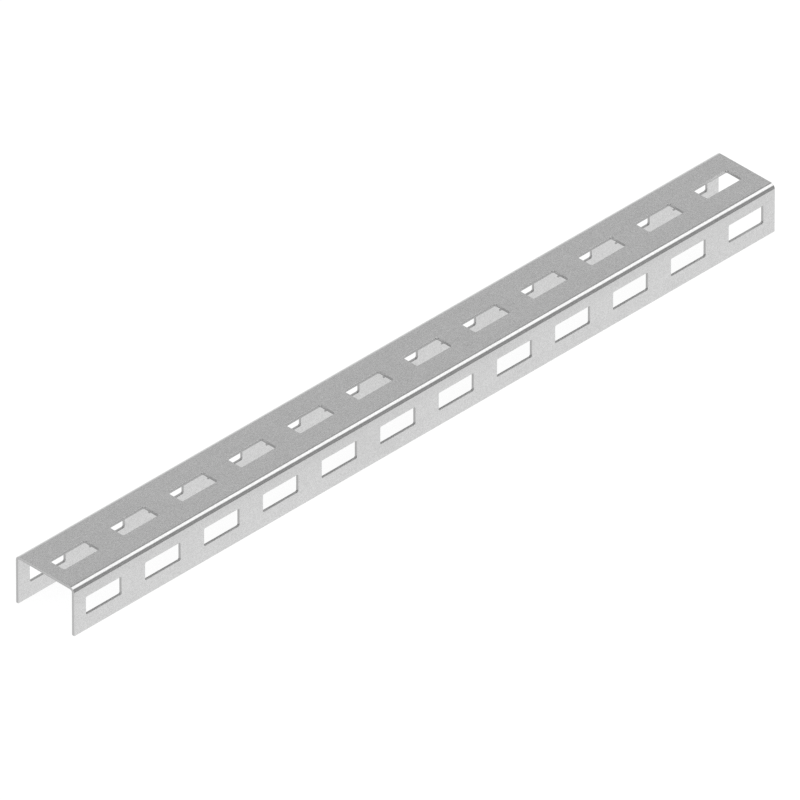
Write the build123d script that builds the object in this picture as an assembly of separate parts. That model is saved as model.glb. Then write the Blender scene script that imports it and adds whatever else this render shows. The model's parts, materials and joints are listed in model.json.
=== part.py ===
"""Slotted U channel: one length of steel sheet bent to a web and two plain flanges.

The channel lies along X with its web on top and stands on the feet of its flanges.
The origin is the centre of the length and of the width, at foot level. +Y points to
the rear flange and +Z points up. All sizes are in millimetres.
"""
from build123d import *
import math
import os

# ---------------------------------------------------------------- driving dimensions
LENGTH = 600.0          # cut length of the channel
WIDTH = 50.0            # over the outer faces of both flanges
HEIGHT = 35.0           # from the flange feet to the top of the web
SHEET = 2.0             # thickness of the steel sheet
BEND_INSIDE = 1.5       # radius on the inside of both bends

SLOT_PITCH = 50.0       # slot centre to slot centre along the channel
SLOT_LENGTH = 30.0      # along the channel
SLOT_WIDTH = 13.0       # across the face
SLOT_CORNER = 1.0       # radius that the punch leaves in each slot corner
PUNCH_OVERRUN = 1.0     # how far a cutting tool runs past each face of the sheet

# ------------------------------------------------------------------------ worked out
bend_outside = BEND_INSIDE + SHEET
slots_in_row = math.floor(round(LENGTH / SLOT_PITCH, 6))


def arch(width, height, radius):
    """Block that stands on the foot line, with its two top corners rounded."""
    block = Rectangle(width, height, align=(Align.CENTER, Align.MIN))
    return fillet(block.vertices().group_by(Axis.Y)[-1], radius)


def bent_section():
    """The U section: one sheet thickness, with both bends round the same centres."""
    outside = arch(WIDTH, HEIGHT, bend_outside)
    inside = arch(WIDTH - 2 * SHEET, HEIGHT - SHEET, BEND_INSIDE)
    return outside - inside


def slot_row(face_plane, depth):
    """Cutters for one row of slots, centred on face_plane and on the length.

    The row is even about the middle of the channel, so the cut ends fall midway
    between two slots when the length is a whole number of pitches.
    """
    slot = RectangleRounded(SLOT_LENGTH, SLOT_WIDTH, SLOT_CORNER)
    stations = GridLocations(SLOT_PITCH, SLOT_PITCH, slots_in_row, 1)
    return [extrude(face_plane * station * slot, depth / 2, both=True) for station in stations]


def slotted_channel():
    channel = extrude(Plane.YZ * bent_section(), LENGTH / 2, both=True)

    # One row down the middle of the web, through the web alone.
    web_middle = Plane.XY.offset(HEIGHT - SHEET / 2)
    channel -= slot_row(web_middle, SHEET + 2 * PUNCH_OVERRUN)

    # One row at half the height, straight across both flanges, so that a bolt passes
    # through the pair. All three rows share the same stations along the length.
    flange_middle = Plane.XZ * Pos(0, HEIGHT / 2, 0)
    channel -= slot_row(flange_middle, WIDTH + 2 * PUNCH_OVERRUN)
    return channel


os.makedirs("parts", exist_ok=True)
export_step(slotted_channel(), "parts/slotted_channel.step")
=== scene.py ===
# %% [markdown]
# # A slotted steel channel
#
# The real object starts as a flat strip of galvanised steel. A press punches three rows of
# slots in it, and then rolls fold the strip along two lines into a U: a web on top and a
# flange down each side. This lesson makes it in the same order, punch first and fold second,
# with Geometry Nodes, and then gives it a zinc finish, a white floor and a studio to reflect.
#
# It fixes where everything is, so all sizes that it can give are read from it and not typed
# again.

# %% The frame and its sizes
import json
import math

import bmesh
import bpy
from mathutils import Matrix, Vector


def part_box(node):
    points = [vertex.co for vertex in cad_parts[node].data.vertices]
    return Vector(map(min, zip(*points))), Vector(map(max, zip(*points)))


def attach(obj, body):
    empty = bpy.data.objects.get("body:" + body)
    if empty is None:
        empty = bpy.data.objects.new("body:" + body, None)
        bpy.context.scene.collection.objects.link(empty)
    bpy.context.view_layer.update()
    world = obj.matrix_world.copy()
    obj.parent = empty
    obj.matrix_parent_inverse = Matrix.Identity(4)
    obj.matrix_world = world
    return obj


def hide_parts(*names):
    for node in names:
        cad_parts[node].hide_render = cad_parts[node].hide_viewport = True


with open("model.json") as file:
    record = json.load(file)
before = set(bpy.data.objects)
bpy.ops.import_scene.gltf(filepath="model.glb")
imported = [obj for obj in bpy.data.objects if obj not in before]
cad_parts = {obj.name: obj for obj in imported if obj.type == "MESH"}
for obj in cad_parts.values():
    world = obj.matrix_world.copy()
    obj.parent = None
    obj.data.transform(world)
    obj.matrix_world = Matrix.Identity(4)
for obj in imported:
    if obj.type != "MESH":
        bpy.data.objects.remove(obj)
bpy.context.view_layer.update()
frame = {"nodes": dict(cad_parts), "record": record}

NODE = "slotted_channel"
SLOTS_IN_ROW = 12

low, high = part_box(NODE)
length, width, height = high - low
mounts = {mount["name"]: mount for mount in frame["record"]["mounts"]}
first_slot_x = mounts["web_slot_01"]["pos_m"][0]
last_slot_x = mounts[f"web_slot_{SLOTS_IN_ROW:02d}"]["pos_m"][0]
slot_pitch = (last_slot_x - first_slot_x) / (SLOTS_IN_ROW - 1)
flange_slot_z = mounts["front_slot_01"]["pos_m"][2]
print(f"channel {length:.3f} x {width:.3f} x {height:.3f} m, slot pitch {slot_pitch:.3f} m")

# %% [markdown]
# These sizes can't be read from the frame. They are in metres, except that the two counts of
# steps say how finely a slot's corner and a bend are divided.

# %% Sizes of the sheet and its slots
SHEET = 0.002
BEND_OUTSIDE = 0.0035
BEND_STEPS = 16
SLOT_LENGTH = 0.030
SLOT_WIDTH = 0.013
SLOT_CORNER = 0.001
CORNER_STEPS = 5
print(f"the inside of a bend has a radius of {(BEND_OUTSIDE - SHEET) * 1000:.1f} mm")

# %% [markdown]
# ## Helpers for node trees
#
# A node tree can be drawn by hand in the editor or written out in Python. Written out, each
# node needs three things: its kind, its settings, and what goes into its sockets. `add` does
# all three in one call. A value that is itself a socket is linked, and any other value is
# typed into the socket. `calc` is the same for one step of arithmetic.

# %% Node helpers
def add(tree, kind, inputs=None, **settings):
    node = tree.nodes.new(kind)
    for name, value in settings.items():
        setattr(node, name, value)
    for name, value in (inputs or {}).items():
        if isinstance(value, bpy.types.NodeSocket):
            tree.links.new(value, node.inputs[name])
        else:
            node.inputs[name].default_value = value
    return node


def calc(tree, operation, *values):
    return add(tree, "ShaderNodeMath", dict(enumerate(values)), operation=operation).outputs[0]

# %% [markdown]
# ## Camera
#
# The channel is seen from its near end, from above and from the left, along the diagonal of a
# cube. That is the isometric view, in which all three axes look equally long. A lens of
# 1700 mm from more than 20 m away keeps the long edges almost parallel, as such a view has
# them, and it is still a perspective camera, so it can be moved round the object freely.
#
# The picture is SPAN metres wide where the channel is. The camera aims a few millimetres to
# the right of the channel's middle and below it.

# %% Camera
VIEW_FROM = Vector((-1, -1, 1)).normalized()
LENS = 1700
SENSOR = 36
SPAN = 0.48446
AIM_RIGHT = 0.00123
AIM_DOWN = 0.00488

camera_data = bpy.data.cameras.new("camera")
camera_data.lens = LENS
camera_data.sensor_width = SENSOR
camera = bpy.data.objects.new("camera", camera_data)
bpy.context.scene.collection.objects.link(camera)
bpy.context.scene.camera = camera

turn = (-VIEW_FROM).to_track_quat("-Z", "Y")
aim = (low + high) / 2 + turn @ Vector((AIM_RIGHT, -AIM_DOWN, 0))
distance = SPAN * LENS / SENSOR
camera.location = aim + VIEW_FROM * distance
camera.rotation_mode = "QUATERNION"
camera.rotation_quaternion = turn
print(f"camera {distance:.1f} m away")

# %% [markdown]
# ## Helpers for the metal
#
# Both finishes of the channel are bare metal, so they start from the same Principled shader
# with Metallic at 1, and both need patterns. An image could hold a pattern, but noise on
# Object coordinates looks right at any distance, can't stretch and has no seam. Each pattern
# here varies around zero, so that it can be added to a level without changing its average.

# %% Helpers for the metal
def metal(name):
    material = bpy.data.materials.new(name)
    material.use_nodes = True
    tree = material.node_tree
    surface = tree.nodes["Principled BSDF"]
    surface.inputs["Metallic"].default_value = 1.0
    place = add(tree, "ShaderNodeTexCoord").outputs["Object"]
    return material, tree, surface, place


def noise(tree, place, scale, detail=2.0, stretch=(1, 1, 1)):
    """Soft blotches. scale is how many there are in a metre."""
    mapped = add(tree, "ShaderNodeMapping", {"Vector": place, "Scale": stretch}).outputs[0]
    wanted = {"Vector": mapped, "Scale": scale, "Detail": detail}
    field = add(tree, "ShaderNodeTexNoise", wanted).outputs["Fac"]
    return calc(tree, "SUBTRACT", field, 0.5)


def crystals(tree, place, scale):
    """Cells with one level each. scale is how many there are in a metre."""
    colour = add(tree, "ShaderNodeTexVoronoi", {"Vector": place, "Scale": scale}).outputs["Color"]
    level = add(tree, "ShaderNodeSeparateColor", {"Color": colour}).outputs["Red"]
    return calc(tree, "SUBTRACT", level, 0.5)


def grey(tree, level):
    parts = {"Red": level, "Green": level, "Blue": level}
    return add(tree, "ShaderNodeCombineColor", parts).outputs[0]


def read(tree, attribute):
    return add(tree, "ShaderNodeAttribute", attribute_name=attribute).outputs["Fac"]


def bumps(tree, relief, strength, height):
    wanted = {"Height": relief, "Strength": strength, "Distance": height}
    return add(tree, "ShaderNodeBump", wanted).outputs["Normal"]

# %% [markdown]
# ## Zinc finish
#
# Galvanised sheet is steel with a thin skin of zinc. The skin is a metal, so its colour shows
# only through what it reflects, and a matt one reflects softly. Up close it has crystals of
# about half a millimetre and a finer grain. From further off it has soft clouds, and streaks
# along the rolling direction.
#
# The rolls that fold the strip rub the outside of each bend, and leave it smoother and
# shinier than the flat faces. The mesh will carry an attribute, `fold`, that runs from 0 on
# the web to 1 on the flanges, so 4 f (1 - f) is 1 in the middle of a bend and 0 on the flats.
# RUB_GAIN widens that peak, so that most of the bend is rubbed evenly.

# %% Zinc material
ZINC_TINT = 0.665
ZINC_ROUGH = 0.27
BEND_ROUGH = 0.13
RUB_GAIN = 3.0
RUBBED_FLAT = 0.8

CRYSTALS_IN_METRE = 1700
GRAINS_IN_METRE = 2600
CLOUDS_IN_METRE = 45
STREAKS_IN_METRE = 260
STREAK_STRETCH = (0.06, 1, 1)

CRYSTAL_TINT = 0.14
GRAIN_TINT = 0.08
CLOUD_TINT = 0.04
STREAK_TINT = 0.04
GRAIN_ROUGH = 0.10
CRYSTAL_ROUGH = 0.06
ZINC_BUMP = 0.25
ZINC_RELIEF = 0.0002


def zinc_material():
    material, tree, surface, place = metal("galvanised_zinc")
    crystal = crystals(tree, place, CRYSTALS_IN_METRE)
    grain = noise(tree, place, GRAINS_IN_METRE, detail=1)
    cloud = noise(tree, place, CLOUDS_IN_METRE)
    streak = noise(tree, place, STREAKS_IN_METRE, stretch=STREAK_STRETCH)

    level = ZINC_TINT
    for pattern, amount in (
            (crystal, CRYSTAL_TINT), (grain, GRAIN_TINT), (cloud, CLOUD_TINT), (streak, STREAK_TINT)):
        level = calc(tree, "MULTIPLY_ADD", pattern, amount, level)
    tree.links.new(grey(tree, level), surface.inputs["Base Color"])

    fold = read(tree, "fold")
    peak = calc(tree, "MULTIPLY", calc(tree, "MULTIPLY", fold, 4.0), calc(tree, "SUBTRACT", 1.0, fold))
    rubbed = calc(tree, "MINIMUM", calc(tree, "MULTIPLY", peak, RUB_GAIN), 1.0)
    rough = calc(tree, "MULTIPLY_ADD", rubbed, BEND_ROUGH - ZINC_ROUGH, ZINC_ROUGH)
    rough = calc(tree, "MULTIPLY_ADD", grain, GRAIN_ROUGH, rough)
    rough = calc(tree, "MULTIPLY_ADD", crystal, CRYSTAL_ROUGH, rough)
    tree.links.new(rough, surface.inputs["Roughness"])

    still_rough = calc(tree, "SUBTRACT", 1.0, calc(tree, "MULTIPLY", rubbed, RUBBED_FLAT))
    relief = calc(tree, "MULTIPLY", grain, still_rough)
    tree.links.new(bumps(tree, relief, ZINC_BUMP, ZINC_RELIEF), surface.inputs["Normal"])
    return material


zinc = zinc_material()
print("made", zinc.name)

# %% [markdown]
# ## Cut edges
#
# A punch shears the first part of the sheet cleanly and tears the rest, so the wall of a slot
# has a bright smooth band next to the face that the punch entered and a rougher one behind
# it. Rolling also draws the steel's grain along the strip. The walls are bare steel, and their
# grey lies below the zinc's partly for that and partly as painted shade, which stands in for
# the shade inside the slots. The walls that look along the strip, the short ends of the slots,
# get a darker grey still, which is painted shade, and the two ends of the channel, which are
# sawn, lie between.
#
# Two attributes of the mesh tell the material where it is. `depth` runs from 0 on the outer
# face to 1 on the inner one. `across` is 1 on the short ends of the slots, a half on the ends
# of the channel and 0 on the walls that run along it.

# %% Cut edge material
# The greys of the cut walls: below the zinc partly as painted shade, and lower on the short ends as
# painted shade.
CUT_ALONG_WITH_SHADE = 0.555
CUT_ACROSS_SHADE = 0.44
CUT_ROUGH = 0.2
TEAR_STARTS = 0.35
TEAR_IS_FULL = 0.45
TORN_DARKER = 0.04
TORN_ROUGHER = 0.12
CUT_GRAIN = 0.2
CUT_BUMP = 0.3
CUT_RELIEF = 0.0001


def cut_material():
    material, tree, surface, place = metal("cut_steel")
    grain = noise(tree, place, GRAINS_IN_METRE)
    tear = {"Value": read(tree, "depth"), "From Min": TEAR_STARTS, "From Max": TEAR_IS_FULL}
    torn = add(tree, "ShaderNodeMapRange", tear).outputs["Result"]
    # Walls that look along the strip get the lower grey: painted shade.
    level = calc(tree, "MULTIPLY_ADD", read(tree, "across"), CUT_ACROSS_SHADE - CUT_ALONG_WITH_SHADE, CUT_ALONG_WITH_SHADE)
    clean = calc(tree, "ADD", level, TORN_DARKER / 2)
    level = calc(tree, "MULTIPLY_ADD", torn, -TORN_DARKER, clean)
    level = calc(tree, "MULTIPLY_ADD", grain, CUT_GRAIN, level)
    tree.links.new(grey(tree, level), surface.inputs["Base Color"])
    rough = calc(tree, "MULTIPLY_ADD", torn, TORN_ROUGHER, CUT_ROUGH)
    tree.links.new(rough, surface.inputs["Roughness"])
    relief = calc(tree, "MULTIPLY", grain, torn)
    tree.links.new(bumps(tree, relief, CUT_BUMP, CUT_RELIEF), surface.inputs["Normal"])
    return material


cut_steel = cut_material()
print("made", cut_steel.name)

# %% [markdown]
# ## Helpers for Geometry Nodes
#
# The shape is made by a few small trees, one for each step of the work, and each is used as a
# single node in a larger one. So every tree has named inputs and gives back one geometry.
# Most inputs are sizes. A tree that holds another passes some of them on unchanged.

# %% Helpers for Geometry Nodes
def geometry_tree(name, sizes, counts=(), meshes=()):
    tree = bpy.data.node_groups.new(name, "GeometryNodeTree")
    tree.interface.new_socket("Geometry", in_out="OUTPUT", socket_type="NodeSocketGeometry")
    for titles, kind in ((meshes, "Geometry"), (counts, "Int"), (sizes, "Float")):
        for title in titles:
            tree.interface.new_socket(title, in_out="INPUT", socket_type="NodeSocket" + kind)
    given = tree.nodes.new("NodeGroupInput").outputs
    result = tree.nodes.new("NodeGroupOutput").inputs["Geometry"]
    return tree, given, result


def use_tree(tree, inner, inputs):
    return add(tree, "GeometryNodeGroup", inputs, node_tree=inner).outputs["Geometry"]


def passed_on(given, names):
    return {name: given[name] for name in names}


def separate(tree, kind):
    """The X, Y and Z of the position or the normal."""
    field = add(tree, kind).outputs[0]
    return add(tree, "ShaderNodeSeparateXYZ", {0: field}).outputs


def vector(tree, **parts):
    return add(tree, "ShaderNodeCombineXYZ", parts).outputs[0]

# %% [markdown]
# ## One punched cell
#
# The flat strip is tiled with cells, each with one slot in its middle. A cell could be cut
# with a boolean, but that leaves long thin faces. Here the rim of the slot is drawn as a
# curve, and its edges are extruded outwards: every new point goes to the nearest corner of
# the cell. The straight sides of the slot become four wide quads, and each rounded corner a
# small fan. Points that land on the same corner are merged.

# %% Punched cell
SLOT_SIZES = ("Slot length", "Slot width", "Slot corner")
REACHES = ("Reach above", "Reach below")
WELD = 1e-5


def merged(tree, geometry):
    wanted = {"Geometry": geometry, "Distance": WELD}
    return add(tree, "GeometryNodeMergeByDistance", wanted).outputs[0]


def punched_cell():
    tree, given, result = geometry_tree("punched cell", ("Cell length",) + SLOT_SIZES + REACHES)
    oblong = {"Width": given["Slot length"], "Height": given["Slot width"]}
    outline = add(tree, "GeometryNodeCurvePrimitiveQuadrilateral", oblong, mode="RECTANGLE").outputs[0]
    corners = {"Curve": outline, "Count": CORNER_STEPS, "Radius": given["Slot corner"]}
    rounded = add(tree, "GeometryNodeFilletCurve", corners, mode="POLY").outputs[0]
    rim = add(tree, "GeometryNodeCurveToMesh", {"Curve": rounded}).outputs[0]
    ring = add(tree, "GeometryNodeExtrudeMesh", {"Mesh": rim, "Offset Scale": 0.0}, mode="EDGES").outputs

    here = separate(tree, "GeometryNodeInputPosition")
    half_cell = calc(tree, "MULTIPLY", given["Cell length"], 0.5)
    corner_x = calc(tree, "MULTIPLY", calc(tree, "SIGN", here["X"]), half_cell)
    is_above = calc(tree, "GREATER_THAN", here["Y"], 0.0)
    whole_reach = calc(tree, "ADD", given["Reach above"], given["Reach below"])
    corner_y = calc(tree, "SUBTRACT", calc(tree, "MULTIPLY", is_above, whole_reach), given["Reach below"])
    drawn = add(tree, "GeometryNodeSetPosition", {
        "Geometry": ring["Mesh"], "Selection": ring["Top"],
        "Position": vector(tree, X=corner_x, Y=corner_y)}).outputs[0]
    tree.links.new(merged(tree, drawn), result)
    return tree


cell_tree = punched_cell()
print("tree:", cell_tree.name)

# %% [markdown]
# ## A row of cells
#
# The slots repeat at one pitch, so a row is one cell placed on the points of a line. The
# copies are instances, light stand-ins for the real thing, and Realize Instances turns them
# into mesh that can be merged with the rest.

# %% Row of cells
ROW_SIZES = ("Pitch", "First station") + SLOT_SIZES


def punched_row():
    tree, given, result = geometry_tree("punched row", ROW_SIZES + REACHES, counts=("Slots",))
    line = {"Count": given["Slots"], "Start Location": vector(tree, X=given["First station"]),
            "Offset": vector(tree, X=given["Pitch"])}
    stations = add(tree, "GeometryNodeMeshLine", line, mode="OFFSET").outputs[0]
    sizes = {"Cell length": given["Pitch"], **passed_on(given, SLOT_SIZES + REACHES)}
    cell = use_tree(tree, cell_tree, sizes)
    copies = add(tree, "GeometryNodeInstanceOnPoints", {"Points": stations, "Instance": cell})
    real = add(tree, "GeometryNodeRealizeInstances", {"Geometry": copies.outputs[0]})
    tree.links.new(real.outputs[0], result)
    return tree


row_tree = punched_row()
print("tree:", row_tree.name)

# %% [markdown]
# ## The flat strip
#
# Three rows lie side by side, with a plain band between them for each bend. The bands have
# many narrow faces across the fold, so that it comes out round. A bend uses up as much of the
# strip as its arc is long, here a quarter of a circle with the outside radius.
#
# The front flange lies at -Y in the flat strip, with the web above its slots and the foot
# below them. The rear flange lies at +Y and is the other way round, so its row has the same
# two reaches, swapped.

# %% Flat strip
SECTION_SIZES = ("Width", "Height", "Bend outside")


def joined(tree, parts):
    join = add(tree, "GeometryNodeJoinGeometry")
    for part in parts:
        tree.links.new(part, join.inputs[0])
    return merged(tree, join.outputs[0])


def shifted(tree, geometry, y):
    move = {"Geometry": geometry, "Translation": vector(tree, Y=y)}
    return add(tree, "GeometryNodeTransform", move).outputs[0]


def minus(tree, value):
    return calc(tree, "MULTIPLY", value, -1.0)


def fold_line_of(tree, given):
    """How far from the middle of the web a bend begins."""
    return calc(tree, "SUBTRACT", calc(tree, "MULTIPLY", given["Width"], 0.5), given["Bend outside"])


def flat_strip():
    sizes = ("Length", "Flange slot height") + SECTION_SIZES + ROW_SIZES
    tree, given, result = geometry_tree("flat strip", sizes, counts=("Slots",))
    fold_line = fold_line_of(tree, given)
    arc = calc(tree, "MULTIPLY", given["Bend outside"], math.pi / 2)
    flange_flat = calc(tree, "SUBTRACT", given["Height"], given["Bend outside"])
    below = given["Flange slot height"]
    above = calc(tree, "SUBTRACT", flange_flat, below)
    flange_middle = calc(tree, "ADD", calc(tree, "ADD", fold_line, arc), above)
    band_middle = calc(tree, "MULTIPLY_ADD", arc, 0.5, fold_line)

    def row(reach_above, reach_below):
        reaches = {"Reach above": reach_above, "Reach below": reach_below}
        return use_tree(tree, row_tree, {**passed_on(given, ("Slots",) + ROW_SIZES), **reaches})

    grid = {"Size X": given["Length"], "Size Y": arc,
            "Vertices X": calc(tree, "ADD", given["Slots"], 1.0), "Vertices Y": BEND_STEPS + 1}
    band = add(tree, "GeometryNodeMeshGrid", grid).outputs[0]
    parts = (
        row(fold_line, fold_line),
        shifted(tree, row(above, below), minus(tree, flange_middle)),
        shifted(tree, row(below, above), flange_middle),
        shifted(tree, band, minus(tree, band_middle)),
        shifted(tree, band, band_middle))
    tree.links.new(joined(tree, parts), result)
    return tree


strip_tree = flat_strip()
print("tree:", strip_tree.name)

# %% [markdown]
# ## Thickness
#
# The strip so far is the outer skin of the sheet. A copy of it is extruded down by the
# thickness while the strip is still flat. The copy is turned over first, so that the new
# walls and the inner skin come out facing outwards.
#
# Now is also the time to mark the cut walls, because on a flat sheet they are simply the
# faces that look neither up nor down. Of these, the ones that look along the strip cut
# across its grain and are marked for a darker grey, which is painted shade, and the ones at
# its very ends are sawn. UPRIGHT and LOOKS_ALONG are limits for a face's normal, and SAWN
# says how far a sawn end counts as a cut across, so how much of that painted shade it gets.

# %% Thickness
UPRIGHT = 0.5
LOOKS_ALONG = 0.7
SAWN = 0.5


def store(tree, geometry, name, value, domain):
    wanted = {"Geometry": geometry, "Name": name, "Value": value}
    return add(tree, "GeometryNodeStoreNamedAttribute", wanted,
               data_type="FLOAT", domain=domain).outputs[0]


def thickness():
    tree, given, result = geometry_tree("thickness", ("Length", "Sheet"), meshes=("Geometry",))
    outer = given["Geometry"]
    turned = add(tree, "GeometryNodeFlipFaces", {"Mesh": outer}).outputs[0]
    down = {"Mesh": turned, "Offset": vector(tree, Z=minus(tree, given["Sheet"])),
            "Offset Scale": 1.0, "Individual": False}
    inner = add(tree, "GeometryNodeExtrudeMesh", down, mode="FACES").outputs["Mesh"]
    sheet = joined(tree, (outer, inner))

    facing = separate(tree, "GeometryNodeInputNormal")
    here = separate(tree, "GeometryNodeInputPosition")
    is_wall = calc(tree, "LESS_THAN", calc(tree, "ABSOLUTE", facing["Z"]), UPRIGHT)
    is_across = calc(tree, "GREATER_THAN", calc(tree, "ABSOLUTE", facing["X"]), LOOKS_ALONG)
    almost_end = calc(tree, "SUBTRACT", calc(tree, "MULTIPLY", given["Length"], 0.5), WELD)
    is_end = calc(tree, "GREATER_THAN", calc(tree, "ABSOLUTE", here["X"]), almost_end)
    # across marks the cut walls that get the darker painted shade.
    across = calc(tree, "MULTIPLY", is_across, calc(tree, "MULTIPLY_ADD", is_end, SAWN - 1.0, 1.0))
    sheet = store(tree, sheet, "wall", is_wall, "FACE")
    sheet = store(tree, sheet, "across", across, "FACE")
    tree.links.new(sheet, result)
    return tree


thickness_tree = thickness()
print("tree:", thickness_tree.name)

# %% [markdown]
# ## Folding
#
# In the flat strip, X runs along the channel, Y across it from the middle of the web, and Z
# is 0 on the outer face and minus the sheet thickness on the inner one. Folding keeps X and
# rolls Y round the bends:
#
# - on the web a point stays where it is,
# - past the fold line it turns about the bend's centre by (distance past the line) / radius,
#   up to a quarter turn,
# - and what is left of the distance runs straight down the flange.
#
# The radius that a point turns on is the outside radius less its depth in the sheet, so both
# faces of the bend share one centre and the wall keeps its thickness.

# %% Folding
def folding():
    tree, given, result = geometry_tree("folding", SECTION_SIZES + ("Sheet",), meshes=("Geometry",))
    flat = separate(tree, "GeometryNodeInputPosition")
    radius = given["Bend outside"]
    side = calc(tree, "SIGN", flat["Y"])
    away = calc(tree, "ABSOLUTE", flat["Y"])
    fold_line = fold_line_of(tree, given)
    past = calc(tree, "MAXIMUM", calc(tree, "SUBTRACT", away, fold_line), 0.0)
    arc = calc(tree, "MULTIPLY", radius, math.pi / 2)
    angle = calc(tree, "DIVIDE", calc(tree, "MINIMUM", past, arc), radius)
    down_flange = calc(tree, "MAXIMUM", calc(tree, "SUBTRACT", past, arc), 0.0)
    turning = calc(tree, "ADD", radius, flat["Z"])

    on_web = calc(tree, "MINIMUM", away, fold_line)
    reach = calc(tree, "MULTIPLY_ADD", turning, calc(tree, "SINE", angle), on_web)
    y = calc(tree, "MULTIPLY", side, reach)
    centre_z = calc(tree, "SUBTRACT", calc(tree, "SUBTRACT", given["Height"], radius), down_flange)
    z = calc(tree, "MULTIPLY_ADD", turning, calc(tree, "COSINE", angle), centre_z)

    fold = calc(tree, "DIVIDE", angle, math.pi / 2)
    depth = calc(tree, "DIVIDE", minus(tree, flat["Z"]), given["Sheet"])
    sheet = store(tree, given["Geometry"], "fold", fold, "POINT")
    sheet = store(tree, sheet, "depth", depth, "POINT")
    place = {"Geometry": sheet, "Position": vector(tree, X=flat["X"], Y=y, Z=z)}
    moved = add(tree, "GeometryNodeSetPosition", place).outputs[0]
    tree.links.new(moved, result)
    return tree


folding_tree = folding()
print("tree:", folding_tree.name)

# %% [markdown]
# ## All steps together
#
# The last tree uses the others in the order of the real work: punch the strip, give it its
# thickness, fold it. Then it shades the faces smooth and hands out the two materials. The
# faces that were marked as walls get the cut edge, and all others the zinc.

# %% The whole tree
def channel_tree():
    sizes = ("Length", "Sheet", "Flange slot height") + SECTION_SIZES + ROW_SIZES
    tree, given, result = geometry_tree("punch and fold", sizes, counts=("Slots",))
    for_strip = ("Slots", "Length", "Flange slot height") + SECTION_SIZES + ROW_SIZES
    strip = use_tree(tree, strip_tree, passed_on(given, for_strip))
    sheet = use_tree(tree, thickness_tree, {
        "Geometry": strip, **passed_on(given, ("Length", "Sheet"))})
    folded = use_tree(tree, folding_tree, {
        "Geometry": sheet, **passed_on(given, SECTION_SIZES + ("Sheet",))})

    smooth = add(tree, "GeometryNodeSetShadeSmooth", {"Geometry": folded}).outputs[0]
    real = add(tree, "GeometryNodeRealizeInstances", {"Geometry": smooth}).outputs[0]
    coat = {"Geometry": real, "Material": zinc}
    coated = add(tree, "GeometryNodeSetMaterial", coat).outputs[0]
    wall = add(tree, "GeometryNodeInputNamedAttribute", {"Name": "wall"}, data_type="FLOAT").outputs[0]
    is_wall = calc(tree, "GREATER_THAN", wall, 0.5)
    cut = {"Geometry": coated, "Selection": is_wall, "Material": cut_steel}
    tree.links.new(add(tree, "GeometryNodeSetMaterial", cut).outputs[0], result)
    return tree


whole_tree = channel_tree()
print("tree:", whole_tree.name)

# %% [markdown]
# ## From tree to mesh
#
# The tree goes on an empty object as a modifier. Its inputs are set by their identifiers,
# because two inputs may share a name. Two more modifiers finish the sheet: Bevel rounds the
# sharp rims by about a fifth of a millimetre, as punching and handling do, and Weighted
# Normal keeps the flat faces flat in the shading next to them. The fine steps of the bends
# and corners are below the angle from which an edge counts as sharp. The result is stored as
# plain mesh.

# %% Build the channel
RIM_ROUNDING = 0.00018
RIM_SEGMENTS = 2
SHARP_FROM = math.radians(50)


def fill_inputs(modifier, values):
    for item in modifier.node_group.interface.items_tree:
        if item.in_out == "INPUT":
            modifier[item.identifier] = values[item.name]


channel = bpy.data.objects.new("galvanised_channel", bpy.data.meshes.new("strip"))
bpy.context.scene.collection.objects.link(channel)
press = channel.modifiers.new("punch and fold", "NODES")
press.node_group = whole_tree
fill_inputs(press, {
    "Length": length, "Width": width, "Height": height, "Sheet": SHEET, "Bend outside": BEND_OUTSIDE,
    "Slots": SLOTS_IN_ROW, "Pitch": slot_pitch, "First station": first_slot_x,
    "Slot length": SLOT_LENGTH, "Slot width": SLOT_WIDTH, "Slot corner": SLOT_CORNER,
    "Flange slot height": flange_slot_z})

rims = channel.modifiers.new("rounded rims", "BEVEL")
rims.width = RIM_ROUNDING
rims.segments = RIM_SEGMENTS
rims.limit_method = "ANGLE"
rims.angle_limit = SHARP_FROM
rims.loop_slide = False
even = channel.modifiers.new("even shading", "WEIGHTED_NORMAL")
even.weight = 100

graph = bpy.context.evaluated_depsgraph_get()
plain = bpy.data.meshes.new_from_object(
    channel.evaluated_get(graph), preserve_all_data_layers=True, depsgraph=graph)
channel.modifiers.clear()
channel.data = plain
triangles = sum(len(face.vertices) - 2 for face in plain.polygons)
print(f"channel: {triangles} triangles")

# %% [markdown]
# ## Check the mesh
#
# A sheet that is closed and faces outwards has no open edges and a positive volume. The
# volume should be almost that of the solid that it stands for.

# %% Check the mesh
SAME_POINT = 1e-7
CUBIC_MM = 1e9


def describe(title, mesh):
    solid = bmesh.new()
    solid.from_mesh(mesh)
    bmesh.ops.remove_doubles(solid, verts=solid.verts, dist=SAME_POINT)
    open_edges = sum(not edge.is_manifold for edge in solid.edges)
    volume = solid.calc_volume(signed=True) * CUBIC_MM
    solid.free()
    print(f"{title}: {volume:.0f} cubic mm, {open_edges} open edges")


describe("channel", plain)
describe("solid", frame["nodes"][NODE].data)

# %% Put it in the frame
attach(channel, "root")
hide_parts(NODE)
print(channel.name, "stands for", NODE)

# %% [markdown]
# ## Floor
#
# The channel lies on a light table: white translucent plastic, lit from below as well as
# from above, so that it comes out plain white and shadows on it almost vanish. Light that
# comes from below is an emission, which the camera adds to what the surface reflects.
#
# Metal shows its surroundings, so rays that it mirrors must find the white table too. They
# get a level of their own. In front of CARD_EDGE the table is covered with grey card: the
# upright face of the flange looks down at the white near it, and the front of the bend looks
# further out, at the card, and has a dark line.

# %% Floor material
WHITE = (1, 1, 1, 1)
TABLE_COLOUR = (0.15, 0.15, 0.15, 1)
TABLE_GLOW = 0.92
MIRRORED_TABLE = 0.99
MIRRORED_CARD = 0.36
CARD_EDGE = -0.078
CARD_SOFTNESS = 0.006


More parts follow.
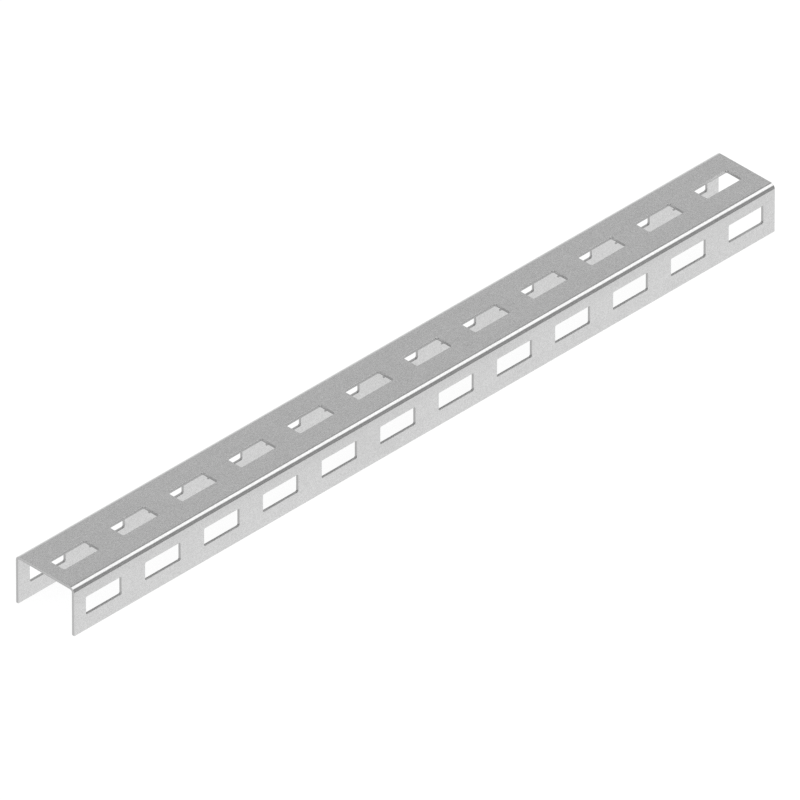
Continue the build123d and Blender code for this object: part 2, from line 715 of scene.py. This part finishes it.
def seen_by_eye(tree, path):
    """1 for rays from the camera, also through something clear, and 0 for all others."""
    return calc(tree, "MAXIMUM", path["Is Camera Ray"], path["Is Transmission Ray"])


def table_material():
    material = bpy.data.materials.new("light_table")
    material.use_nodes = True
    tree = material.node_tree
    surface = tree.nodes["Principled BSDF"]
    surface.inputs["Base Color"].default_value = TABLE_COLOUR
    surface.inputs["Roughness"].default_value = 1.0
    surface.inputs["Specular IOR Level"].default_value = 0.0
    surface.inputs["Emission Color"].default_value = WHITE
    path = add(tree, "ShaderNodeLightPath").outputs
    glow = calc(tree, "MULTIPLY", seen_by_eye(tree, path), TABLE_GLOW)
    tree.links.new(glow, surface.inputs["Emission Strength"])

    place = add(tree, "ShaderNodeTexCoord").outputs["Object"]
    y = add(tree, "ShaderNodeSeparateXYZ", {0: place}).outputs["Y"]
    edge = {"Value": y, "From Min": CARD_EDGE - CARD_SOFTNESS, "From Max": CARD_EDGE + CARD_SOFTNESS,
            "To Min": MIRRORED_CARD, "To Max": MIRRORED_TABLE}
    level = add(tree, "ShaderNodeMapRange", edge).outputs["Result"]
    mirrored = add(tree, "ShaderNodeEmission", {"Color": WHITE, "Strength": level}).outputs[0]
    choice = {0: path["Is Glossy Ray"], 1: surface.outputs[0], 2: mirrored}
    chosen = add(tree, "ShaderNodeMixShader", choice).outputs[0]
    tree.links.new(chosen, tree.nodes["Material Output"].inputs["Surface"])
    return material


table = table_material()
print("made", table.name)

# %% Floor
FLOOR_SIZE = 8.0

half = FLOOR_SIZE / 2
corners = [(-half, -half, 0), (half, -half, 0), (half, half, 0), (-half, half, 0)]
floor_mesh = bpy.data.meshes.new("floor")
floor_mesh.from_pydata(corners, [], [(0, 1, 2, 3)])
floor_mesh.materials.append(table)
floor = bpy.data.objects.new("floor", floor_mesh)
bpy.context.scene.collection.objects.link(floor)
print(f"floor {FLOOR_SIZE:.0f} m square")

# %% [markdown]
# ## Studio
#
# A long piece of metal is shown off by long lights and dark flags set parallel to it, because
# each face mirrors one strip of the room. Seen from the channel, such a strip is an angle
# about its length: 0 degrees is the horizon behind it, 90 straight up, and 180 the horizon in
# front. The room is painted in the world shader as grey levels over that angle. The web
# mirrors the room at 45 degrees, and the front bend sweeps from there over the top and down
# to the front, so the light box overhead becomes a bright line along the bend, and the dim
# front of the room and the card below it a dark line beside that.
#
# The camera must not see this room, so its own rays find plain white.

# %% Studio
BOX_FROM = 78
BOX_TO = 135
BOX_SOFTNESS = 6
BOX_END = 0.85
BOX_END_SOFTNESS = 0.05
BOX_GAIN = 2.6
ROOM = (
    # angle in degrees, grey level
    (-180, 1.0),
    (0, 1.0),
    (32, 0.78),
    (42, 0.78),
    (49, 0.42),
    (90, 0.42),
    (145, 0.38),
    (178, 0.36),
    (180, 1.0),
)


def room_levels(tree, angle):
    turn_share = calc(tree, "MULTIPLY_ADD", angle, 1 / 360, 0.5)
    ramp = add(tree, "ShaderNodeValToRGB", {"Fac": turn_share})
    stops = ramp.color_ramp.elements
    while len(stops) > 1:
        stops.remove(stops[-1])
    for degrees, level in ROOM:
        stop = stops.new(degrees / 360 + 0.5)
        stop.color = (level, level, level, 1)
    # A ramp can't be empty, so the stop that it came with goes last.
    stops.remove(stops[0])
    return ramp.outputs["Color"]


def between(tree, value, start, end, softness):
    """1 from start to end and 0 elsewhere, with soft edges."""
    rise = {"Value": value, "From Min": start - softness, "From Max": start + softness}
    fall = {"Value": value, "From Min": end - softness, "From Max": end + softness,
            "To Min": 1.0, "To Max": 0.0}
    edges = [add(tree, "ShaderNodeMapRange", edge).outputs[0] for edge in (rise, fall)]
    return calc(tree, "MULTIPLY", *edges)


def studio():
    world = bpy.data.worlds.new("studio")
    world.use_nodes = True
    tree = world.node_tree
    direction = add(tree, "ShaderNodeTexCoord").outputs["Generated"]
    way = add(tree, "ShaderNodeSeparateXYZ", {0: direction}).outputs
    angle = calc(tree, "DEGREES", calc(tree, "ARCTAN2", way["Z"], way["Y"]))
    overhead = between(tree, angle, BOX_FROM, BOX_TO, BOX_SOFTNESS)
    within = between(tree, way["X"], -BOX_END, BOX_END, BOX_END_SOFTNESS)
    box = calc(tree, "MULTIPLY", overhead, within)
    gain = calc(tree, "MULTIPLY_ADD", box, BOX_GAIN, 1.0)
    level = calc(tree, "MULTIPLY", room_levels(tree, angle), gain)

    eye = seen_by_eye(tree, add(tree, "ShaderNodeLightPath").outputs)
    strength = calc(tree, "MULTIPLY_ADD", eye, calc(tree, "SUBTRACT", 1.0, level), level)
    background = tree.nodes["Background"]
    background.inputs["Color"].default_value = WHITE
    tree.links.new(strength, background.inputs["Strength"])
    return world


bpy.context.scene.world = studio()
bpy.context.scene.view_settings.view_transform = "Standard"
print("studio of", len(ROOM), "grey levels and a light box")
